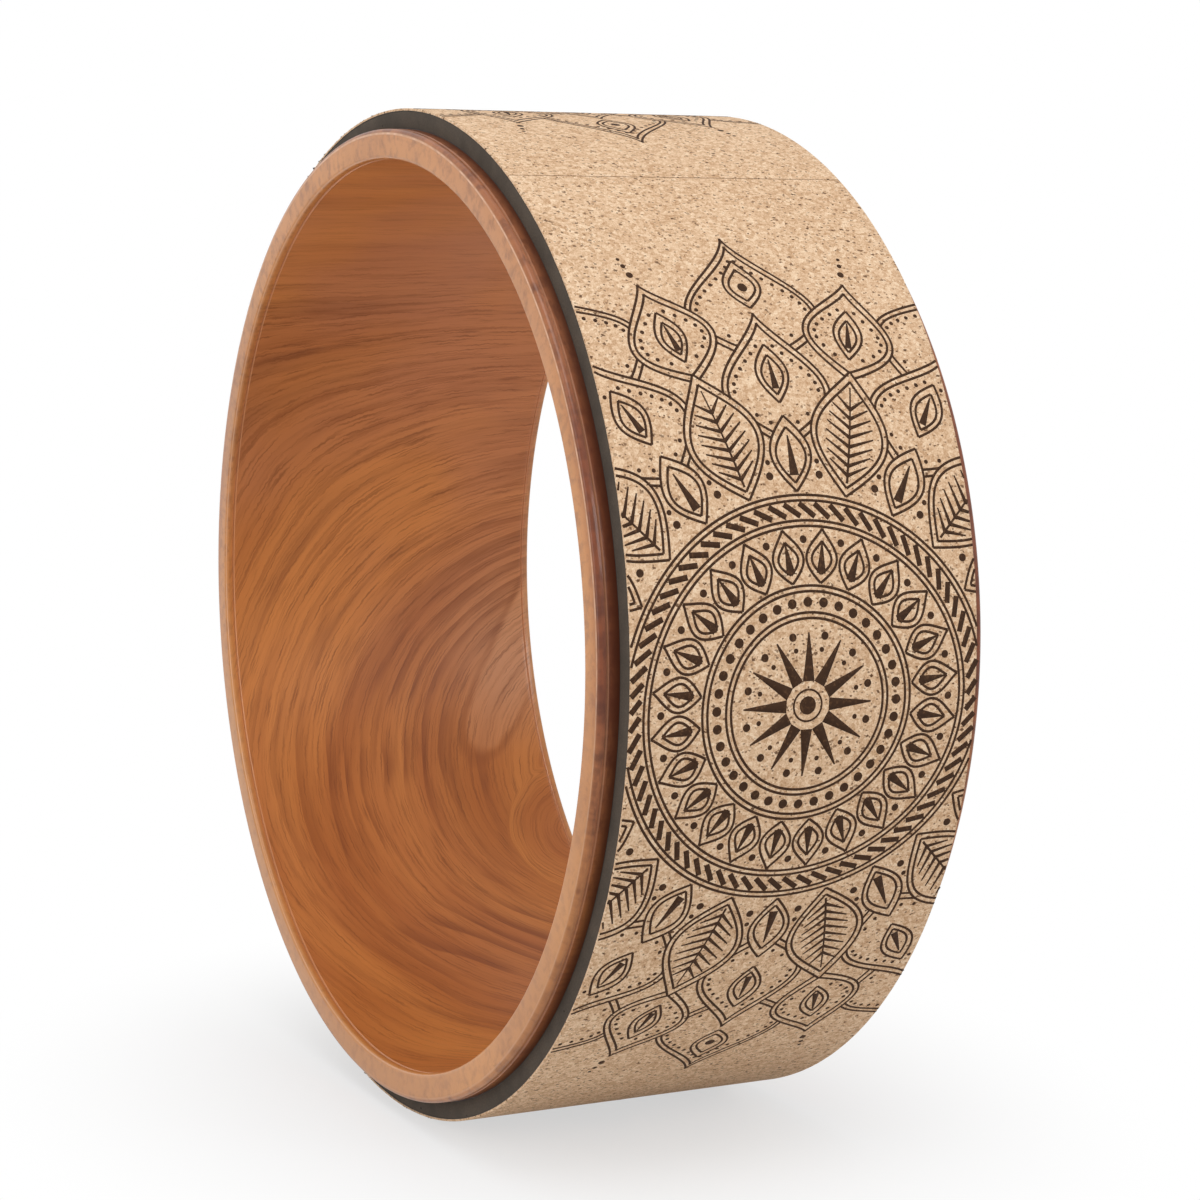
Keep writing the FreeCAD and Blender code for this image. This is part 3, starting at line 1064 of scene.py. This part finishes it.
class Drawing:
    """Lines with their widths and dots with their sizes, flat, about the rosette's centre."""

    def __init__(self):
        self.points = []
        self.edges = []
        self.widths = []
        self.sizes = []
        self.joins = []

    def line(self, points, first_width=LINE_WIDTH, last_width=None, joins=False):
        """A line whose width may change evenly along it. One that joins runs on into the next sector's."""
        last_width = first_width if last_width is None else last_width
        base = len(self.points)
        for index, point in enumerate(points):
            share = index / (len(points) - 1)
            self.points.append((point[0], point[1], 0))
            self.widths.append(first_width + (last_width - first_width) * share)
            self.sizes.append(0)
            self.joins.append(joins)
        self.edges += [(base + index, base + index + 1) for index in range(len(points) - 1)]

    def stroke(self, axis, first_reach, last_reach, width):
        """A stroke along an axis that tapers outwards."""
        self.line(straight(on_axis(axis, first_reach), on_axis(axis, last_reach)), width, STROKE_TIP_WIDTH)

    def ring(self, reach, width=LINE_WIDTH):
        """This sector's stretch of a circle."""
        def place(share):
            return on_axis(HALF_SECTOR * (2 * share - 1), reach)
        self.line(through(place, 2 * HALF_SECTOR * reach), width, joins=True)

    def petal(self, petal, fronts=()):
        """Both sides of a petal and of a second one inside it, where no petal in front covers them."""
        for outline in (petal, petal.inset(LINE_PAIR)):
            for side in (1, -1):
                for run in visible_runs(outline.side(side), fronts):
                    self.line(run)

    def veins(self, petal, count):
        """A midrib, and slanted veins that taper towards the petal's edge."""
        midrib = straight(*(petal.place(share) for share in MIDRIB_SHARES))
        self.line(midrib, LINE_WIDTH, STROKE_TIP_WIDTH)
        for vein in range(count):
            share = FIRST_VEIN_SHARE + VEIN_ROW_SHARE * vein / (count - 1)
            for side in (1, -1):
                end = petal.place(share + VEIN_RISE_SHARE, side * VEIN_SPREAD_SHARE)
                self.line(straight(petal.place(share), end), STROKE_WIDTH, STROKE_TIP_WIDTH)

    def dot(self, point, size, joins=False):
        self.points.append((point[0], point[1], 0))
        self.widths.append(0)
        self.sizes.append(size)
        self.joins.append(joins)

    def edge_dots(self, petal, fronts):
        """A row of dots inside each side of a petal, clear of the petals in front."""
        clear_of = [front.inset(-EDGE_DOT_SIZE) for front in fronts]
        row = petal.inset(EDGE_DOT_INSET)
        for side in (1, -1):
            for point in row.side(side)[EDGE_DOT_STEP:-EDGE_DOT_STEP:EDGE_DOT_STEP]:
                if not is_hidden(point, clear_of):
                    self.dot(point, EDGE_DOT_SIZE)

    def mesh(self, name):
        mesh = bpy.data.meshes.new(name)
        mesh.from_pydata(self.points, self.edges, [])
        for label, values in (("line_width", self.widths), ("dot_size", self.sizes)):
            mesh.attributes.new(label, "FLOAT", "POINT").data.foreach_set("value", values)
        mesh.attributes.new("joins", "BOOLEAN", "POINT").data.foreach_set("value", self.joins)
        return mesh


def draw_middle(drawing, gap_axis):
    """A sun, a string of beads, a row of small petals and a rope, between pairs of rings."""
    drawing.dot((0, 0), HUB_SIZE, joins=True)
    drawing.ring(HUB_RING, FINE_WIDTH)
    drawing.stroke(0, *SUN_RAY)
    for reach, size in SUN_DOTS:
        drawing.dot(on_axis(gap_axis, reach), size)
    for reach in BAND_RINGS:
        drawing.ring(reach)
        drawing.ring(reach + LINE_PAIR)
    for bead in range(BEADS_IN_SECTOR):
        turn = HALF_SECTOR * ((2 * bead + 1) / BEADS_IN_SECTOR - 1)
        drawing.dot(on_axis(turn, BEAD[0]), BEAD[1])
    for side in (1, -1):
        small = Petal(side * HALF_SECTOR / 2, *SMALL_PETAL)
        drawing.petal(small)
        drawing.stroke(small.axis, *SMALL_SEED)
    for axis in (0, gap_axis):
        drawing.dot(on_axis(axis, SMALL_DOT[0]), SMALL_DOT[1])
    for strand in range(STRANDS_IN_SECTOR):
        first, last = (HALF_SECTOR * (2 * end / STRANDS_IN_SECTOR - 1) for end in (strand, strand + 1))
        drawing.line(straight(on_axis(first, ROPE[0]), on_axis(last, ROPE[1])), ROPE_WIDTH)


def draw_petals(drawing, gap_axis):
    """The large petals in layers, the front ones first, and what fills them."""
    leaf = Petal(gap_axis, *LEAF)
    bud = Petal(0, *BUD)
    inner_lobe = Petal(0, *INNER_LOBE)
    outer_lobe = Petal(gap_axis, *OUTER_LOBE)
    crown = Petal(0, *CROWN)
    layers = (leaf, bud, inner_lobe, outer_lobe, crown)
    for index, petal in enumerate(layers):
        drawing.petal(petal, layers[:index])
        if petal in (inner_lobe, outer_lobe, crown):
            drawing.edge_dots(petal, layers[:index])
    drawing.veins(leaf, LEAF_VEINS)
    drawing.stroke(0, *BUD_SEED)
    for reach, size, turn_share in BUD_DOTS:
        for side in (1, -1):
            drawing.dot(on_axis(side * turn_share * HALF_SECTOR, reach), size)
    for axis, eye in ((0, INNER_EYE), (gap_axis, OUTER_EYE), (0, CROWN_EYE)):
        drawing.petal(Petal(axis, *eye))
    drawing.stroke(0, *INNER_SEED)
    drawing.stroke(gap_axis, *OUTER_SEED)
    drawing.dot(on_axis(0, CROWN_DOT[0]), CROWN_DOT[1])
    for reach, size in TIP_DOTS:
        drawing.dot(on_axis(gap_axis, reach), size)


def sector_drawing():
    """One sector of the rosette, which the print repeats about its centre."""
    drawing = Drawing()
    draw_middle(drawing, HALF_SECTOR)
    draw_petals(drawing, HALF_SECTOR)
    return drawing


# Pieces


def place_piece(piece, slot, *nodes):
    """Fixes a piece to the wheel and hides the CAD nodes that it stands for. Its slot, the finish's, is not
    used.
    """
    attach(piece, "root")
    if nodes:
        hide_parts(*nodes)
    return piece


def add_hoop():
    values = {"Path Radius": BORE_RADIUS, "Steps": STEPS_ROUND_WHEEL, "Material": wood_grain()}
    base = section_mesh("hoop_section", hoop_section(), BORE_RADIUS)
    return place_piece(grow("wood_hoop", hoop_tree(), base, values), "wood_grain_plastic", "hoop")


def add_padding():
    """The four bonded layers, from the tape out to the cork."""
    tree = wrapped_strip_tree()
    glue = adhesive()
    layers = (
        ("tape_layer", "pad_tape", "adhesive", glue, FOAM_SEAM_GAP, 0),
        ("foam_layer", "foam_pad", "charcoal_foam", charcoal_foam(), FOAM_SEAM_GAP, 0.5),
        ("glue_layer", "cork_glue_film", "adhesive", glue, FOAM_SEAM_GAP, 0),
        ("cork_tread", "cork_cover", "cork", cork(), CORK_SEAM_GAP, 1),
    )
    for name, node, slot, material, gap, wander_share in layers:
        inner, outer = node_radii(node)
        width = half_width(node)
        values = {
            "Path Radius": outer,
            "Steps": STEPS_ROUND_WHEEL,
            "Seam Angle": SEAM_ANGLE,
            "Seam Gap": gap,
            "Half Width": width,
            "Edge Wander": EDGE_WANDER * wander_share,
            "End Wander": END_WANDER * wander_share,
            "Material": material,
        }
        base = section_mesh(name + "_section", strip_section(inner, outer, width), outer)
        piece = place_piece(grow(name, tree, base, values), slot, node)
        node == "foam_pad"


def add_prints():
    tree = line_print_tree()
    ink = print_ink()
    drawing = sector_drawing()
    for name, angle in PRINT_ANGLES.items():
        values = {
            "Folds": PRINT_FOLDS,
            "Tread Radius": TREAD_RADIUS,
            "Centre Angle": angle,
            "Half Band": PAD_HALF_WIDTH - PRINT_MARGIN,
            "Material": ink,
        }
        place_piece(grow(name, tree, drawing.mesh(name + "_sector"), values), "cork")


# Stage, light and camera


def seen_rays(start):
    """1 on rays that show a surface, to the camera or in gloss or glass, and 0 on those that only light."""
    straight_on = start.node("ShaderNodeLightPath", out="Is Camera Ray")
    by_way = start.math("MAXIMUM", straight_on.out("Is Glossy Ray"), straight_on.out("Is Transmission Ray"))
    return start.math("MAXIMUM", straight_on, by_way)


def add_floor():
    """A pale floor under the tread that keeps the shadow near the wheel and turns white further off."""
    mesh = bpy.data.meshes.new("floor")
    level = CAD_BOX[0][2]
    signs = ((-1, -1), (1, -1), (1, 1), (-1, 1))
    corners = [(x_sign * FLOOR_REACH, y_sign * FLOOR_REACH, level) for x_sign, y_sign in signs]
    mesh.from_pydata(corners, [], [(0, 1, 2, 3)])
    floor = bpy.data.objects.new("floor", mesh)
    bpy.context.scene.collection.objects.link(floor)
    material, start, place = new_material("floor")
    x, y, z = place.split()
    paper = start.node("ShaderNodeBsdfDiffuse", sockets={"Color": FLOOR_GREY})
    glow = start.node("ShaderNodeEmission", sockets={"Color": WHITE, "Strength": 1})
    further_off = x.length_with(y * FLOOR_AXLE_STRETCH).ease(*FLOOR_FADE)
    whiteness = FLOOR_GLOW_SHARE + (1 - FLOOR_GLOW_SHARE) * further_off
    sockets = {0: whiteness * seen_rays(start), 1: paper, 2: glow}
    finish_material(start, start.node("ShaderNodeMixShader", sockets=sockets))
    mesh.materials.append(material)


def add_world():
    """A white surround to the camera and in reflections, at a lower level as light."""
    world = bpy.data.worlds.new("studio")
    bpy.context.scene.world = world
    world.use_nodes = True
    world.node_tree.nodes.clear()
    start = Wire(world.node_tree)
    strength = AMBIENT_SHARE + seen_rays(start) * (1 - AMBIENT_SHARE)
    surround = start.node("ShaderNodeBackground", sockets={"Color": WHITE, "Strength": strength})
    start.node("ShaderNodeOutputWorld", sockets={"Surface": surround})


def add_softbox(name, place, width, height, power):
    """A flat area lamp that faces the wheel."""
    lamp = bpy.data.lights.new(name, "AREA")
    lamp.shape = "RECTANGLE"
    lamp.size = width
    lamp.size_y = height
    lamp.energy = power
    softbox = bpy.data.objects.new(name, lamp)
    bpy.context.scene.collection.objects.link(softbox)
    softbox.location = place
    softbox.rotation_euler = (-Vector(place)).to_track_quat("-Z", "Y").to_euler()


def add_camera():
    cosine, sine = math.cos(CAMERA_AZIMUTH), math.sin(CAMERA_AZIMUTH)
    level = math.cos(CAMERA_ELEVATION)
    back = Vector((sine * level, -cosine * level, math.sin(CAMERA_ELEVATION)))
    right = Vector((cosine, sine, 0))
    up = back.cross(right)
    lens = bpy.data.cameras.new("camera")
    lens.sensor_width = SENSOR_WIDTH
    lens.lens = FOCAL_PIXELS * SENSOR_WIDTH / IMAGE_PIXELS
    lens.shift_x = 0.5 - LENS_CENTRE[0] / IMAGE_PIXELS
    lens.shift_y = LENS_CENTRE[1] / IMAGE_PIXELS - 0.5
    camera = bpy.data.objects.new("camera", lens)
    bpy.context.scene.collection.objects.link(camera)
    eye = CAMERA_DISTANCE * back + CAMERA_ASIDE * right + CAMERA_RAISED * up
    camera.matrix_world = Matrix.Translation(eye) @ Matrix((right, up, back)).transposed().to_4x4()
    bpy.context.scene.camera = camera


add_hoop()
add_padding()
add_prints()
add_floor()
add_world()
for lamp_name, lamp in LAMPS.items():
    add_softbox(lamp_name, *lamp)
add_camera()
bpy.context.scene.view_settings.view_transform = "Standard"
